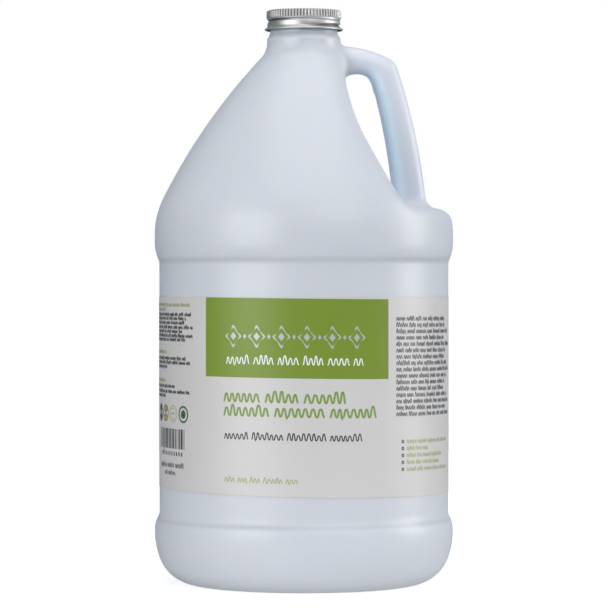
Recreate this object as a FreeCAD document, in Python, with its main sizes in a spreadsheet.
import FreeCAD, Part
import math
import os

import Sketcher
from FreeCAD import Placement, Rotation, Vector

# A one gallon round jug, blow moulded in one piece with a hollow side handle, closed by a
# rolled metal screw cap with a paperboard liner, with a wrap label and its filling.
# +Z is up, the origin is the centre of the base, and the handle points along +X.

SIZES = {
    # the jug's upright wall, from the base to the shoulder (mm)
    "roll_radius": 77.1,
    "panel_radius": 74.7,
    "ring_inner_radius": 47.0,
    "heel_centre_radius": 55.7,
    "heel_radius": 20.0,
    "heel_side_radius": 38.15,
    "push_up_radius": 40.0,
    "push_up_height": 5.0,
    "lower_roll_top": 28.6,
    "lower_roll_radius": 12.0,
    "lower_step_radius": 2.0,
    "panel_top": 165.5,
    "upper_step_radius": 3.0,
    "upper_roll_radius": 22.0,
    "shoulder_base": 180.2,
    # the shoulder, a solid of revolution with a scoop for the hand
    "shoulder_radius": 42.0,
    "shoulder_turn": 26.6,
    "cone_radius": 307.0,
    "neck_radius": 19.0,
    "neck_fillet": 11.7,
    "shoulder_top": 281.1,
    "scoop_top_wall": 19.8,
    "scoop_bend_top": 257.0,
    "scoop_top_lean": 2.0,
    "scoop_bend_radius": 75.0,
    "scoop_low_lean": 26.0,
    "scoop_floor_height": 193.8,
    "scoop_floor_reach": 60.0,
    "scoop_floor_fall": 3.8,
    "scoop_floor_radius": 12.0,
    "scoop_roof_start": 258.0,
    "scoop_roof_radius": 14.0,
    "scoop_roof_rise": 50.0,
    "floor_edge_blend": 5.5,
    "wall_edge_blend": 10.0,
    "top_edge_blend": 9.0,
    # the hollow handle
    "handle_half_width": 11.0,
    "handle_half_depth": 7.4,
    "grip_top_height": 271.0,
    "grip_top_reach": 16.0,
    "grip_top_radius": 65.0,
    "grip_corner_radius": 10.0,
    "grip_side_reach": 56.6,
    "grip_side_radius": 330.0,
    "grip_foot_height": 186.0,
    "grip_side_level": 166.3,
    # the wall and the filling
    "outside_inset": 0.0,
    "hollow_inset": 1.1,
    "fill_inset": 1.4,
    "fill_line": 260.0,
    # the neck finish, 38 mm with a 400 thread
    "finish_radius": 17.45,
    "finish_cone_top": 283.7,
    "bore_radius": 15.2,
    "bore_cone_top": 284.6,
    "lip_height": 294.5,
    "lip_edge": 0.5,
    "thread_pitch": 4.233,
    "thread_crest": 18.45,
    "thread_root_half": 1.1,
    "thread_crest_half": 0.6,
    "thread_turns": 1.125,
    "thread_start_angle": -208.0,
    "thread_start_height": 287.24,
    # the cap's pressing
    "cap_top": 295.8,
    "cap_bottom": 285.0,
    "sheet": 0.28,
    "knurl_radius": 19.35,
    "knurl_root_radius": 19.12,
    "knurl_bottom": 291.7,
    "knurl_top": 294.9,
    "knurl_count": 72,
    "skirt_radius": 18.9,
    "flare_start": 287.4,
    "bead_radius": 20.3,
    "bead_top": 286.5,
    "bead_bottom": 285.6,
    "curl_radius": 19.5,
    "top_flat_radius": 18.1,
    "roll_depth": 0.9,
    "roll_root_half": 0.9,
    "roll_crest_half": 0.5,
    "roll_turns": 0.95,
    "roll_start_angle": -118.0,
    "roll_start_height": 286.65,
    "roll_overlap": 8.0,
    # the liner and the label
    "liner_radius": 18.0,
    "facing_thickness": 0.15,
    "label_bottom": 49.2,
    "label_top": 148.2,
    "label_thickness": 0.15,
    "label_span": 357.0,
}

SHEET = "dimensions"

doc = FreeCAD.newDocument("round_jug")


def make_sheet():
    """Write every driving dimension into the sheet, one named cell each."""
    sheet = doc.addObject("Spreadsheet::Sheet", SHEET)
    for row, (name, value) in enumerate(SIZES.items(), start=1):
        sheet.set("A%d" % row, name)
        sheet.set("B%d" % row, str(value))
        sheet.setAlias("B%d" % row, name)
    doc.recompute()
    return sheet


sheet = make_sheet()


def size(name):
    """One driving dimension, read from the sheet."""
    return float(getattr(sheet, name))


def cell(name):
    """The expression that reads one cell of the sheet."""
    return "%s.%s" % (SHEET, name)


def minus(name, other):
    return "%s - %s" % (cell(name), cell(other))


def plus(name, other):
    return "%s + %s" % (cell(name), cell(other))


# ---------------------------------------------------------------- sketches

ORIGIN = (-1, 1)
START = 1
END = 2
CENTRE = 3


def origin_plane(body, role):
    return next(f for f in body.Origin.OriginFeatures if f.Role == role)


def new_body(name):
    return doc.addObject("PartDesign::Body", name)


def new_sketch(body, name, turn=0.0):
    """A sketch on an upright plane through the jug's axis, turned about that axis."""
    sketch = body.newObject("Sketcher::SketchObject", name)
    sketch.AttachmentSupport = (origin_plane(body, "XZ_Plane"), [""])
    sketch.MapMode = "FlatFace"
    sketch.AttachmentOffset = Placement(Vector(), Rotation(Vector(0, 1, 0), turn))
    return sketch


def bind(sketch, kind, where, expression):
    """Hold one size of a sketch at an expression of the sheet."""
    if kind == "Radius":
        present = sketch.Geometry[where[0]].Radius
    else:
        first, second = sketch.getPoint(where[0], where[1]), sketch.getPoint(where[2], where[3])
        present = second.x - first.x if kind == "DistanceX" else second.y - first.y
    index = sketch.addConstraint(Sketcher.Constraint(kind, *where, present))
    sketch.setExpression("Constraints[%d]" % index, expression)


class Outline:
    """A chain of lines and arcs in a sketch, drawn anticlockwise about the solid."""

    def __init__(self, sketch, start):
        self.sketch = sketch
        self.pen = Vector(start[0], start[1], 0)
        self.last = None
        self.first = None

    def _join(self, geometry, enter, leave, smooth):
        kind = "Tangent" if smooth else "Coincident"
        if self.last is not None:
            self.sketch.addConstraint(Sketcher.Constraint(kind, *self.last, geometry, enter))
        else:
            self.first = (geometry, enter)
        self.last = (geometry, leave)
        return geometry

    def line(self, x, y, smooth=False):
        end = Vector(x, y, 0)
        geometry = self.sketch.addGeometry(Part.LineSegment(self.pen, end))
        self.pen = end
        return self._join(geometry, START, END, smooth)

    def arc(self, centre, end_angle, smooth=True):
        """An arc about a centre from the pen to an angle in degrees, the short way round."""
        middle = Vector(centre[0], centre[1], 0)
        spoke = self.pen - middle
        begin = math.atan2(spoke.y, spoke.x)
        finish = math.radians(end_angle)
        circle = Part.Circle(middle, Vector(0, 0, 1), spoke.Length)
        forward = finish > begin
        span = (begin, finish) if forward else (finish, begin)
        geometry = self.sketch.addGeometry(Part.ArcOfCircle(circle, *span))
        self.pen = middle + Vector(math.cos(finish), math.sin(finish), 0) * spoke.Length
        ends = (START, END) if forward else (END, START)
        return self._join(geometry, *ends, smooth)

    def close(self):
        self.sketch.addConstraint(Sketcher.Constraint("Coincident", *self.last, *self.first))


def add_revolution(body, sketch, expression=None):
    """Turn a sketch about the jug's axis, all the way round unless an angle is given."""
    turned = body.newObject("PartDesign::Revolution", sketch.Name + "_turned")
    turned.Profile = sketch
    turned.ReferenceAxis = (sketch, ["V_Axis"])
    turned.Angle = 360.0
    if expression:
        turned.setExpression("Angle", expression)
    return turned


def add_helix(body, sketch, kind, turns):
    """Sweep a sketch up the right-hand helix of the thread, about the jug's axis."""
    swept = body.newObject(kind, sketch.Name + "_swept")
    swept.Profile = sketch
    swept.ReferenceAxis = (sketch, ["V_Axis"])
    swept.Mode = "pitch-turns-angle"
    swept.setExpression("Pitch", cell("thread_pitch"))
    swept.setExpression("Turns", turns)
    return swept


def polygon_body(name, points):
    """A body turned about the axis from a closed outline of straight runs.

    Each point is a pair of signed sums of named sizes, across and up."""
    body = new_body(name)
    sketch = new_sketch(body, name + "_outline")
    draw_polygon(sketch, points)
    add_revolution(body, sketch)
    return body


def draw_polygon(sketch, points):
    """A closed outline of straight runs, every corner bound to the sheet."""
    corners = [(sum_of(x), sum_of(y)) for x, y in points]
    outline = Outline(sketch, corners[0])
    lines = [outline.line(*corner) for corner in corners[1:] + corners[:1]]
    outline.close()
    for line, (x, y) in zip(lines, points):
        for kind, terms in (("DistanceX", x), ("DistanceY", y)):
            bind(sketch, kind, (*ORIGIN, line, START), expression_of(terms))


def sum_of(terms):
    """The present value of a signed sum of named sizes, such as ("cap_top", "-sheet")."""
    return sum(-size(term[1:]) if term.startswith("-") else size(term) for term in terms)


def expression_of(terms):
    """The same signed sum as an expression of the sheet."""
    signed = ["- " + cell(t[1:]) if t.startswith("-") else "+ " + cell(t) for t in terms]
    return "0 " + " ".join(signed)


# ---------------------------------------------------------------- the jug's blank


def make_barrel(name, inset_name):
    """The upright wall: heel, two rolls and the recessed label panel, up to the shoulder."""
    inset = size(inset_name)
    roll = size("roll_radius") - inset
    panel = size("panel_radius") - inset
    heel, side = size("heel_radius"), size("heel_side_radius")
    reach = size("heel_centre_radius")
    side_centre_x = size("roll_radius") - side
    rise = math.sqrt((side - heel) ** 2 - (reach - side_centre_x) ** 2)
    heel_angle = -math.degrees(math.atan2(rise, reach - side_centre_x))
    step = size("roll_radius") - size("panel_radius")

    body = new_body(name)
    sketch = new_sketch(body, name + "_outline")
    outline = Outline(sketch, (0, size("push_up_height") + inset))
    crown = outline.line(size("push_up_radius"), size("push_up_height") + inset)
    slope = outline.line(size("ring_inner_radius"), inset)
    ring = outline.line(reach, inset)
    heel_arc = outline.arc((reach, heel), heel_angle)
    side_arc = outline.arc((side_centre_x, heel + rise), 0.0)
    low_wall = outline.line(roll, size("lower_roll_top"), smooth=True)

    convex, hollow = size("lower_roll_radius"), size("lower_step_radius")
    bend = math.acos(1 - step / (convex + hollow))
    run = (convex + hollow) * math.sin(bend)
    low_roll = outline.arc((size("roll_radius") - convex, size("lower_roll_top")),
                           math.degrees(bend))
    low_step = outline.arc((size("panel_radius") + hollow, size("lower_roll_top") + run), -180.0)
    panel_wall = outline.line(panel, size("panel_top"), smooth=True)

    convex, hollow = size("upper_roll_radius"), size("upper_step_radius")
    bend = math.acos(1 - step / (convex + hollow))
    run = (convex + hollow) * math.sin(bend)
    top_step = outline.arc((size("panel_radius") + hollow, size("panel_top")),
                           180.0 - math.degrees(bend))
    top_roll = outline.arc((size("roll_radius") - convex, size("panel_top") + run), 0.0)
    top_wall = outline.line(roll, size("shoulder_base"), smooth=True)
    lid = outline.line(0, size("shoulder_base"))
    axis = outline.line(0, size("push_up_height") + inset)
    outline.close()

    for geometry in (crown, ring, lid):
        sketch.addConstraint(Sketcher.Constraint("Horizontal", geometry))
    for geometry in (low_wall, panel_wall, top_wall):
        sketch.addConstraint(Sketcher.Constraint("Vertical", geometry))
    sketch.addConstraint(Sketcher.Constraint("PointOnObject", axis, START, -2))
    sketch.addConstraint(Sketcher.Constraint("PointOnObject", axis, END, -2))
    across = (
        (crown, END, cell("push_up_radius")),
        (slope, END, cell("ring_inner_radius")),
        (ring, END, cell("heel_centre_radius")),
        (low_wall, END, minus("roll_radius", inset_name)),
        (panel_wall, END, minus("panel_radius", inset_name)),
        (top_wall, END, minus("roll_radius", inset_name)),
    )
    up = (
        (crown, END, plus("push_up_height", inset_name)),
        (slope, END, cell(inset_name)),
        (low_wall, END, cell("lower_roll_top")),
        (panel_wall, END, cell("panel_top")),
        (top_wall, END, cell("shoulder_base")),
    )
    radii = (
        (heel_arc, minus("heel_radius", inset_name)),
        (side_arc, minus("heel_side_radius", inset_name)),
        (low_roll, minus("lower_roll_radius", inset_name)),
        (low_step, plus("lower_step_radius", inset_name)),
        (top_step, plus("upper_step_radius", inset_name)),
        (top_roll, minus("upper_roll_radius", inset_name)),
    )
    for geometry, point, expression in across:
        bind(sketch, "DistanceX", (*ORIGIN, geometry, point), expression)
    for geometry, point, expression in up:
        bind(sketch, "DistanceY", (*ORIGIN, geometry, point), expression)
    for geometry, expression in radii:
        bind(sketch, "Radius", (geometry,), expression)
    add_revolution(body, sketch)
    return body


class Shoulder:
    """The shoulder's soft surface: a solid of revolution with the scoop for the hand.

    Both are signed distances, below zero inside the wall, so an inset of the wall is the
    same surface moved inward, and the edge between them is rounded by a blend."""

    SCOOP_RUN = 60.0          # length of the floor and the roof, past the jug's wall
    FLOOR_BLEND_RISE = 17.0   # the floor's blend ends this far above the foot of the wall
    TOP_BLEND_START = 240.0
    TOP_BLEND_RISE = 24.0
    RAY_HEIGHT = 165.0        # rays start on the axis at this height
    RAY_NEAR = 10.0
    RAY_FAR = 130.0
    HALVINGS = 34
    TRIAL_RAYS = 400

    def __init__(self):
        self.set_profile()
        self.set_scoop()

    def set_profile(self):
        """Shoulder arc, long cone arc and the hollow arc into the neck, all tangent."""
        self.roll, self.base = size("roll_radius"), size("shoulder_base")
        self.arc_radius = size("shoulder_radius")
        self.turn = math.radians(size("shoulder_turn"))
        self.cone_radius = size("cone_radius")
        self.neck, self.fillet = size("neck_radius"), size("neck_fillet")
        gap = self.cone_radius - self.arc_radius
        self.arc_centre = (self.roll - self.arc_radius, self.base)
        self.cone_centre = (
            self.arc_centre[0] - gap * math.cos(self.turn),
            self.arc_centre[1] - gap * math.sin(self.turn),
        )
        fillet_reach = self.neck + self.fillet - self.cone_centre[0]
        self.cone_end = math.acos(fillet_reach / (self.cone_radius + self.fillet))
        self.fillet_top = (self.cone_centre[1]
                           + (self.cone_radius + self.fillet) * math.sin(self.cone_end))

    def set_scoop(self):
        """The scoop's outline in the plane of the handle: floor, wall, bend and roof."""
        top_lean = math.radians(size("scoop_top_lean"))
        low_lean = math.radians(size("scoop_low_lean"))
        fall = math.radians(size("scoop_floor_fall"))
        rise = math.radians(size("scoop_roof_rise"))
        top = (size("scoop_top_wall"), size("scoop_bend_top"))
        self.bend = (top[0] + size("scoop_bend_radius") * math.cos(top_lean),
                     top[1] + size("scoop_bend_radius") * math.sin(top_lean),
                     size("scoop_bend_radius"))
        low = (self.bend[0] - self.bend[2] * math.cos(low_lean),
               self.bend[1] - self.bend[2] * math.sin(low_lean))
        down = (math.sin(low_lean), -math.cos(low_lean))
        outward = (math.cos(fall), -math.sin(fall))
        floor_x, floor_z = size("scoop_floor_reach"), size("scoop_floor_height")
        across = down[0] * outward[1] - down[1] * outward[0]
        run = ((floor_x - low[0]) * outward[1] - (floor_z - low[1]) * outward[0]) / across
        corner = (low[0] + down[0] * run, low[1] + down[1] * run)
        radius = size("scoop_floor_radius")
        tangent = radius * math.tan((math.pi / 2 - fall - low_lean) / 2)
        foot = (corner[0] - down[0] * tangent, corner[1] - down[1] * tangent)
        self.floor_start = (corner[0] + outward[0] * tangent, corner[1] + outward[1] * tangent)
        self.corner = (self.floor_start[0] + radius * math.sin(fall),
                       self.floor_start[1] + radius * math.cos(fall), radius)
        wall_top = (top[0] - (size("scoop_roof_start") - top[1]) * math.tan(top_lean),
                    size("scoop_roof_start"))
        radius = size("scoop_roof_radius")
        self.roof = (wall_top[0] + radius * math.cos(top_lean),
                     wall_top[1] + radius * math.sin(top_lean), radius)
        self.roof_start = (self.roof[0] - radius * math.sin(rise),
                           self.roof[1] + radius * math.cos(rise))
        self.wall_points = (foot, low, top, wall_top)
        self.slopes = (math.tan(fall), math.tan(low_lean), math.tan(top_lean), math.tan(rise))
        floor_end = (self.floor_start[0] + self.SCOOP_RUN * outward[0],
                     self.floor_start[1] + self.SCOOP_RUN * outward[1])
        roof_end = (self.roof_start[0] + self.SCOOP_RUN * math.cos(rise),
                    self.roof_start[1] + self.SCOOP_RUN * math.sin(rise))
        self.runs = ((self.floor_start, floor_end), (foot, low), (top, wall_top),
                     (self.roof_start, roof_end))
        self.arcs = (
            (self.corner, math.pi + low_lean, 1.5 * math.pi - fall),
            (self.bend, math.pi + top_lean, math.pi + low_lean),
            (self.roof, math.pi / 2 + rise, math.pi + top_lean),
        )

    def from_profile(self, radius, height):
        """Distance outside the solid of revolution."""
        if height <= self.base:
            return radius - self.roll
        x, z = radius - self.arc_centre[0], height - self.arc_centre[1]
        if x > 0 and math.atan2(z, x) <= self.turn:
            return math.hypot(x, z) - self.arc_radius
        if height >= self.fillet_top:
            return radius - self.neck
        x, z = radius - self.cone_centre[0], height - self.cone_centre[1]
        if math.atan2(z, x) <= self.cone_end:
            return math.hypot(x, z) - self.cone_radius
        return self.fillet - math.hypot(radius - self.neck - self.fillet, height - self.fillet_top)

    def in_scoop(self, x, z):
        foot, low, top, wall_top = self.wall_points
        floor_slope, low_slope, top_slope, roof_slope = self.slopes
        roof_height = self.roof_start[1] + max(0.0, x - self.roof_start[0]) * roof_slope
        if z >= roof_height:
            return False
        if x >= self.floor_start[0]:
            return z > self.floor_start[1] - (x - self.floor_start[0]) * floor_slope
        if z <= foot[1]:
            return math.hypot(x - self.corner[0], z - self.corner[1]) < self.corner[2]
        if z <= low[1]:
            return x > low[0] + (low[1] - z) * low_slope
        if z <= top[1]:
            return x > self.bend[0] - math.sqrt(self.bend[2] ** 2 - (self.bend[1] - z) ** 2)
        if z <= wall_top[1]:
            return x > top[0] - (z - top[1]) * top_slope
        return x > self.roof[0] or math.hypot(x - self.roof[0], z - self.roof[1]) < self.roof[2]

    def from_scoop(self, x, z):
        """Distance into the scoop, below zero in the jug's wall beside it."""
        nearest = min(distance_to_run(x, z, *run) for run in self.runs)
        for (centre_x, centre_z, radius), first, last in self.arcs:
            angle = math.atan2(z - centre_z, x - centre_x) % (2 * math.pi)
            if first <= angle <= last:
                nearest = min(nearest, abs(math.hypot(x - centre_x, z - centre_z) - radius))
        return nearest if self.in_scoop(x, z) else -nearest

    def blend(self, height):
        """The size of the rounded edge, small at the floor, large beside the wall."""
        floor, wall = size("floor_edge_blend"), size("wall_edge_blend")
        foot_height = self.wall_points[0][1]
        rise = foot_height + self.FLOOR_BLEND_RISE - self.floor_start[1]
        low = ease((height - self.floor_start[1]) / rise)
        high = ease((height - self.TOP_BLEND_START) / self.TOP_BLEND_RISE)
        return floor + (wall - floor) * low + (size("top_edge_blend") - wall) * high

    def outside(self, x, y, z):
        """Distance outside the shoulder, with the rounded edge."""
        wall = self.from_profile(math.hypot(x, y), z)
        if x <= 0:
            return wall
        scoop = self.from_scoop(x, z)
        soft = self.blend(z)
        rounded = math.hypot(max(soft + wall, 0.0), max(soft + scoop, 0.0))
        return min(-soft, max(wall, scoop)) + rounded

    def reach(self, around, lift, inset):
        """Where a ray from a point on the axis meets the surface."""
        way = Vector(math.cos(lift) * math.cos(around), math.cos(lift) * math.sin(around),
                     math.sin(lift))
        near, far = self.RAY_NEAR, self.RAY_FAR
        for _ in range(self.HALVINGS):
            middle = (near + far) / 2
            x, y, z = way * middle
            if self.outside(x, y, self.RAY_HEIGHT + z) < -inset:
                near = middle
            else:
                far = middle
        return way * near + Vector(0, 0, self.RAY_HEIGHT)

    def lifts(self, inset, spacing):
        """Ray angles that step evenly along the surface, from its base to its top."""
        first = math.atan2(self.base - self.RAY_HEIGHT, self.roll - inset)
        last = math.atan2(size("shoulder_top") - self.RAY_HEIGHT, self.neck - inset)
        count = self.TRIAL_RAYS
        trial = [first + (last - first) * i / count for i in range(count + 1)]
        front = [self.reach(0.0, lift, inset) for lift in trial]
        back = [self.reach(math.pi, lift, inset) for lift in trial]
        travel = [0.0]
        for i in range(count):
            step = max(front[i].distanceToPoint(front[i + 1]),
                       back[i].distanceToPoint(back[i + 1]))
            travel.append(travel[-1] + step)
        steps = int(travel[-1] / spacing)
        angles = []
        for i in range(steps + 1):
            goal = travel[-1] * i / steps
            j = max(k for k in range(count) if travel[k] <= goal)
            share = min(1.0, (goal - travel[j]) / (travel[j + 1] - travel[j]))
            angles.append(trial[j] + (trial[j + 1] - trial[j]) * share)
        return angles

    def rings(self, inset, around=72, spacing=3.0):
        """Rings of points up the surface, the first and the last exact circles."""
        angles = self.lifts(inset, spacing)
        turns = [math.pi + 2 * math.pi * i / around for i in range(around)]

        def circle(radius, height):
            return [Vector(radius * math.cos(a), radius * math.sin(a), height) for a in turns]

        rings = [[self.reach(a, lift, inset) for a in turns] for lift in angles[1:-1]]
        bottom = circle(self.roll - inset, self.base)
        top = circle(self.neck - inset, size("shoulder_top"))
        return [bottom] + rings + [top]


def ease(share):
    """A smooth step from 0 to 1."""
    share = max(0.0, min(1.0, share))
    return share * share * (3 - 2 * share)


def distance_to_run(x, z, start, end):
    """Distance from a point to a straight run."""
    run = (end[0] - start[0], end[1] - start[1])
    along = ((x - start[0]) * run[0] + (z - start[1]) * run[1]) / (run[0] ** 2 + run[1] ** 2)
    along = max(0.0, min(1.0, along))
    return math.hypot(x - start[0] - along * run[0], z - start[1] - along * run[1])


def skin(rings):
    """A smooth surface through closed rings of points."""
    def evenly(count):
        return [i / count for i in range(count + 1)]

    round_curves = []
    for ring in rings:
        curve = Part.BSplineCurve()
        curve.interpolate(Points=ring, PeriodicFlag=True, Parameters=evenly(len(ring)))
        round_curves.append(curve)
    poles = [curve.getPoles() for curve in round_curves]
    up_curves = []
    for i in range(len(poles[0])):
        curve = Part.BSplineCurve()
        curve.interpolate(Points=[row[i] for row in poles], Parameters=evenly(len(rings) - 1))
        up_curves.append(curve)
    first_round, first_up = round_curves[0], up_curves[0]
    surface = Part.BSplineSurface()
    surface.buildFromPolesMultsKnots(
        [curve.getPoles() for curve in up_curves],
        first_round.getMultiplicities(), first_up.getMultiplicities(),
        first_round.getKnots(), first_up.getKnots(), True, False, 3, 3)
    return surface.toShape()


def make_shoulder(name, shoulder, inset):
    """The closed solid under the shoulder's surface, which no stock feature describes."""
    face = skin(shoulder.rings(inset))
    rims = [edge for edge in face.Edges if edge.Closed]
    lids = [Part.Face(Part.Wire([rim])) for rim in rims]
    shell = Part.Shell([face] + lids)
    shell.sewShape()
    solid = Part.Solid(shell)
    if solid.Volume < 0:
        solid.reverse()
    solid.fixTolerance(1e-4)
    feature = doc.addObject("Part::Feature", name)
    feature.Shape = solid
    feature.Placement = Placement()
    return feature


def make_handle(name, inset_name):
    """The handle's tube: top bar, corner and side, three tangent arcs swept by an oval."""
    body = new_body(name)
    top_radius, corner, side = (size("grip_top_radius"), size("grip_corner_radius"),
                                size("grip_side_radius"))
    top_centre = (size("grip_top_reach"), size("grip_top_height") - top_radius)
    side_centre = (size("grip_side_reach") - side, size("grip_side_level"))
    corner_centre = meet(side_centre, side - corner, top_centre, top_radius - corner)
    top_end = angle_from(top_centre, corner_centre)
    side_start = angle_from(side_centre, corner_centre)
    foot = math.degrees(math.asin((size("grip_foot_height") - side_centre[1]) / side))

    path = new_sketch(body, name + "_path")
    chain = Outline(path, (top_centre[0], size("grip_top_height")))
    top_arc = chain.arc(top_centre, top_end)
    corner_arc = chain.arc(corner_centre, side_start)
    side_arc = chain.arc(side_centre, foot)
    bind(path, "DistanceX", (*ORIGIN, top_arc, END), cell("grip_top_reach"))
    bind(path, "DistanceX", (*ORIGIN, top_arc, CENTRE), cell("grip_top_reach"))
    bind(path, "DistanceY", (*ORIGIN, top_arc, END), cell("grip_top_height"))
    bind(path, "DistanceX", (*ORIGIN, side_arc, CENTRE),
         minus("grip_side_reach", "grip_side_radius"))
    bind(path, "DistanceY", (*ORIGIN, side_arc, CENTRE), cell("grip_side_level"))
    bind(path, "DistanceY", (*ORIGIN, side_arc, START), cell("grip_foot_height"))
    bind(path, "Radius", (top_arc,), cell("grip_top_radius"))
    bind(path, "Radius", (corner_arc,), cell("grip_corner_radius"))
    bind(path, "Radius", (side_arc,), cell("grip_side_radius"))

    oval = body.newObject("Sketcher::SketchObject", name + "_oval")
    oval.AttachmentSupport = (origin_plane(body, "YZ_Plane"), [""])
    oval.MapMode = "FlatFace"
    oval.setExpression("AttachmentOffset.Base.z", cell("grip_top_reach"))
    half_width = size("handle_half_width") - size(inset_name)
    half_depth = size("handle_half_depth") - size(inset_name)
    height = size("grip_top_height")
    wide_end, deep_end = Vector(half_width, height, 0), Vector(0, height + half_depth, 0)
    ellipse = oval.addGeometry(Part.Ellipse(wide_end, deep_end, Vector(0, height, 0)))
    oval.exposeInternalGeometry(ellipse)
    width_line, depth_line = ellipse + 1, ellipse + 2
    bind(oval, "DistanceX", (*ORIGIN, ellipse, CENTRE), "0")
    bind(oval, "DistanceY", (*ORIGIN, ellipse, CENTRE), cell("grip_top_height"))
    oval.addConstraint(Sketcher.Constraint("Horizontal", width_line))
    lengths = (
        (width_line, 2 * half_width, "handle_half_width"),
        (depth_line, 2 * half_depth, "handle_half_depth"),
    )
    for line, length, half_name in lengths:
        index = oval.addConstraint(Sketcher.Constraint("Distance", line, length))
        oval.setExpression("Constraints[%d]" % index, "2 * (%s)" % minus(half_name, inset_name))

    tube = body.newObject("PartDesign::AdditivePipe", name + "_tube")
    tube.Profile = oval
    tube.Spine = (path, [])
    return body


def meet(first, first_reach, second, second_reach):
    """The upper point that lies at given distances from two centres."""
    gap = math.hypot(second[0] - first[0], second[1] - first[1])
    along = (first_reach ** 2 - second_reach ** 2 + gap ** 2) / (2 * gap)
    aside = math.sqrt(first_reach ** 2 - along ** 2)
    ux, uz = (second[0] - first[0]) / gap, (second[1] - first[1]) / gap
    foot = (first[0] + along * ux, first[1] + along * uz)
    points = [(foot[0] - side * uz, foot[1] + side * ux) for side in (-aside, aside)]
    return max(points, key=lambda point: point[1])


def angle_from(centre, point):
    return math.degrees(math.atan2(point[1] - centre[1], point[0] - centre[0]))


def fuse(name, pieces):
    joined = doc.addObject("Part::MultiFuse", name)
    joined.Shapes = pieces
    joined.Refine = False
    return joined


def make_blank(prefix, shoulder, inset_name):
    """The whole bottle with its handle, moved inward by an inset, without the neck."""
    barrel = make_barrel(prefix + "_barrel", inset_name)
    upper = make_shoulder(prefix + "_shoulder", shoulder, size(inset_name))
    handle = make_handle(prefix + "_handle", inset_name)
    return [barrel, upper, handle]


# ---------------------------------------------------------------- the jug


def make_finish():
    """The neck's outside: a short cone up to the threaded finish and its lip."""
    points = [
        ((), ("shoulder_top",)),
        (("neck_radius",), ("shoulder_top",)),
        (("finish_radius",), ("finish_cone_top",)),
        (("finish_radius",), ("lip_height", "-lip_edge")),
        (("finish_radius", "-lip_edge"), ("lip_height",)),
        ((), ("lip_height",)),
    ]
    body = polygon_body("neck_finish", points)
    section = new_sketch(body, "neck_thread", turn=size("thread_start_angle"))
    draw_thread(section, "finish_radius", "lip_edge", "thread_crest", "thread_root_half",
                "thread_crest_half", "thread_start_height")
    add_helix(body, section, "PartDesign::AdditiveHelix", cell("thread_turns"))
    return body


def draw_thread(sketch, root, sink, crest, root_half, crest_half, start):
    """A thread's section standing out of a wall, its root sunk into the wall."""
    points = [
        ((root, "-" + sink), (start, "-" + root_half)),
        ((root,), (start, "-" + root_half)),
        ((crest,), (start, "-" + crest_half)),
        ((crest,), (start, crest_half)),
        ((root,), (start, root_half)),
        ((root, "-" + sink), (start, root_half)),
    ]
    draw_polygon(sketch, points)


def make_bore():
    """The mouth's bore, opening through a short cone into the hollow of the shoulder."""
    points = [
        ((), ("shoulder_top",)),
        (("neck_radius", "-hollow_inset"), ("shoulder_top",)),
        (("bore_radius",), ("bore_cone_top",)),
        (("bore_radius",), ("lip_height", "lip_edge")),
        ((), ("lip_height", "lip_edge")),
    ]
    return polygon_body("mouth_bore", points)


def make_jug(shoulder):
    """The jug: its outside with the neck, less its hollow with the bore."""
    skin_pieces = make_blank("outside", shoulder, "outside_inset")
    hollow_pieces = make_blank("hollow", shoulder, "hollow_inset")
    outside = fuse("jug_outside", skin_pieces + [make_finish()])
    hollow = fuse("jug_hollow", hollow_pieces + [make_bore()])
    jug = doc.addObject("Part::Cut", "jug_body")
    jug.Base = outside
    jug.Tool = hollow
    jug.Refine = False
    return jug


def make_fill(shoulder):
    """The liquid, held off the wall by a hair so that nothing overlaps, up to the fill line."""
    blank = fuse("fill_blank", make_blank("fill", shoulder, "fill_inset"))
    room = doc.addObject("Part::Box", "fill_room")
    for side, factor in (("Length", 2), ("Width", 2)):
        room.setExpression(side, "%d * %s" % (factor, cell("roll_radius")))
    room.setExpression("Height", cell("fill_line"))
    room.setExpression("Placement.Base.x", "-1 * " + cell("roll_radius"))
    room.setExpression("Placement.Base.y", "-1 * " + cell("roll_radius"))
    fill = doc.addObject("Part::MultiCommon", "shampoo_fill")
    fill.Shapes = [blank, room]
    return fill


# ---------------------------------------------------------------- the cap, its liner and the label


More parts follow.
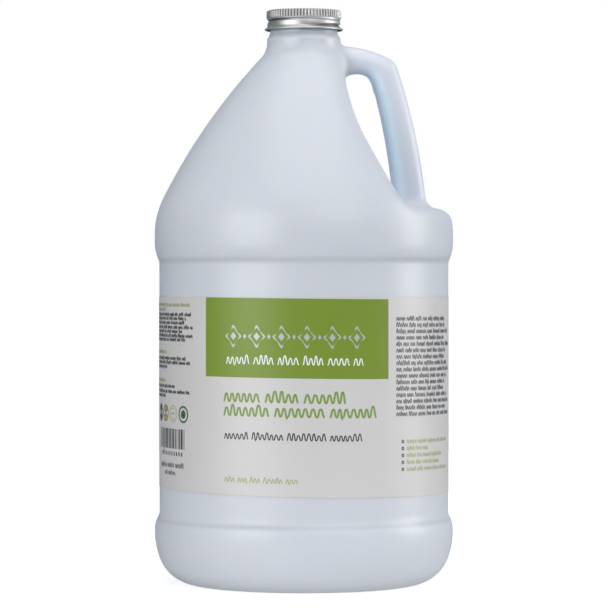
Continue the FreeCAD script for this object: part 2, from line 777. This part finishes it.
def make_pressing():
    """The cap's sheet metal: top panel, skirt with a rolled thread, flare and bead."""
    points = [
        ((), ("cap_top", "-sheet")),
        (("top_flat_radius",), ("cap_top", "-sheet")),
        (("skirt_radius",), ("knurl_top",)),
        (("skirt_radius",), ("knurl_bottom",)),
        (("skirt_radius", "-sheet"), ("knurl_bottom", "-sheet")),
        (("skirt_radius", "-sheet"), ("flare_start",)),
        (("curl_radius",), ("bead_bottom",)),
        (("curl_radius",), ("cap_bottom",)),
        (("bead_radius", "-sheet"), ("cap_bottom",)),
        (("bead_radius",), ("bead_bottom",)),
        (("bead_radius",), ("bead_top",)),
        (("skirt_radius",), ("flare_start",)),
        (("skirt_radius",), ("knurl_bottom", "-sheet")),
        (("knurl_root_radius",), ("knurl_bottom",)),
        (("knurl_root_radius",), ("knurl_top",)),
        (("skirt_radius", "-sheet"), ("cap_top",)),
        ((), ("cap_top",)),
    ]
    body = polygon_body("cap_pressing", points)
    inner = new_sketch(body, "rolled_ridge", turn=size("roll_start_angle"))
    ridge_points = [
        (("skirt_radius",), ("roll_start_height", "-roll_root_half")),
        (("skirt_radius",), ("roll_start_height", "roll_root_half")),
        (("skirt_radius", "-roll_depth", "-sheet"), ("roll_start_height", "roll_crest_half")),
        (("skirt_radius", "-roll_depth", "-sheet"), ("roll_start_height", "-roll_crest_half")),
    ]
    draw_polygon(inner, ridge_points)
    add_helix(body, inner, "PartDesign::AdditiveHelix", cell("roll_turns"))
    turn_in = size("roll_overlap")
    rise_in = size("thread_pitch") * turn_in / 360.0
    outer = new_sketch(body, "rolled_groove", turn=size("roll_start_angle") + turn_in)
    outer.AttachmentOffset = Placement(Vector(0, rise_in, 0), outer.AttachmentOffset.Rotation)
    groove_points = [
        (("skirt_radius", "sheet"), ("roll_start_height", "-roll_root_half", "sheet")),
        (("skirt_radius", "sheet"), ("roll_start_height", "roll_root_half", "-sheet")),
        (("skirt_radius", "-roll_depth"), ("roll_start_height", "roll_crest_half", "-sheet")),
        (("skirt_radius", "-roll_depth"), ("roll_start_height", "-roll_crest_half", "sheet")),
    ]
    draw_polygon(outer, groove_points)
    shorter = "%s - 2 * %s / 360" % (cell("roll_turns"), cell("roll_overlap"))
    add_helix(body, outer, "PartDesign::SubtractiveHelix", shorter)
    return body


def make_knurl():
    """The ring of fine upright flutes round the top of the cap."""
    count = int(size("knurl_count"))
    bottom = size("knurl_bottom")
    corners = []
    for i in range(2 * count):
        radius = size("knurl_radius") if i % 2 else size("knurl_root_radius")
        angle = math.pi * i / count
        corners.append(Vector(radius * math.cos(angle), radius * math.sin(angle), bottom))
    height = Vector(0, 0, size("knurl_top") - bottom)
    star = Part.Face(Part.makePolygon(corners + corners[:1])).extrude(height)
    well = Part.makeCylinder(size("skirt_radius"), height.z, Vector(0, 0, bottom))
    ring = doc.addObject("Part::Feature", "knurl_ring")
    ring.Shape = star.cut(well)
    ring.Placement = Placement()
    return ring


def make_cap():
    cap = doc.addObject("Part::Fuse", "cap_shell")
    cap.Base = make_pressing()
    cap.Tool = make_knurl()
    cap.Refine = False
    return cap


def make_disc(name, bottom, top):
    """A flat round disc of the liner between two heights."""
    points = [
        ((), bottom),
        (("liner_radius",), bottom),
        (("liner_radius",), top),
        ((), top),
    ]
    return polygon_body(name, points)


def make_label():
    """The wrap label on the panel, with its two ends nearly meeting at the back."""
    body = new_body("label")
    turn = 90.0 + (360.0 - size("label_span")) / 2
    sketch = new_sketch(body, "label_section", turn=turn)
    points = [
        (("panel_radius",), ("label_bottom",)),
        (("panel_radius", "label_thickness"), ("label_bottom",)),
        (("panel_radius", "label_thickness"), ("label_top",)),
        (("panel_radius",), ("label_top",)),
    ]
    draw_polygon(sketch, points)
    add_revolution(body, sketch, cell("label_span") + " * 1 deg")
    return body


# ---------------------------------------------------------------- build, check and write


def require(condition, message):
    if not condition:
        raise SystemExit(message)


def main():
    shoulder = Shoulder()
    facing_top = ("lip_height", "facing_thickness")
    parts = {
        "jug_body": make_jug(shoulder),
        "shampoo_fill": make_fill(shoulder),
        "label": make_label(),
        "cap_shell": make_cap(),
        "liner_board": make_disc("liner_board", facing_top, ("cap_top", "-sheet")),
        "liner_facing": make_disc("liner_facing", ("lip_height",), facing_top),
    }
    doc.recompute()
    for item in doc.Objects:
        require("Invalid" not in item.State and "Error" not in item.State, item.Name + " failed")
    os.makedirs("parts", exist_ok=True)
    for name, part in parts.items():
        part.Label = name
        shape = part.Shape
        require(not shape.isNull() and shape.isValid(), name + " is not a valid shape")
        require(len(shape.Solids) == 1, name + " is not one solid")
        shape.exportStep(os.path.join("parts", name + ".step"))
        box = shape.BoundBox
        print("%-14s %9.1f mm3  x %.2f..%.2f  y %.2f..%.2f  z %.2f..%.2f" % (
            name, shape.Volume, box.XMin, box.XMax, box.YMin, box.YMax, box.ZMin, box.ZMax))


main()
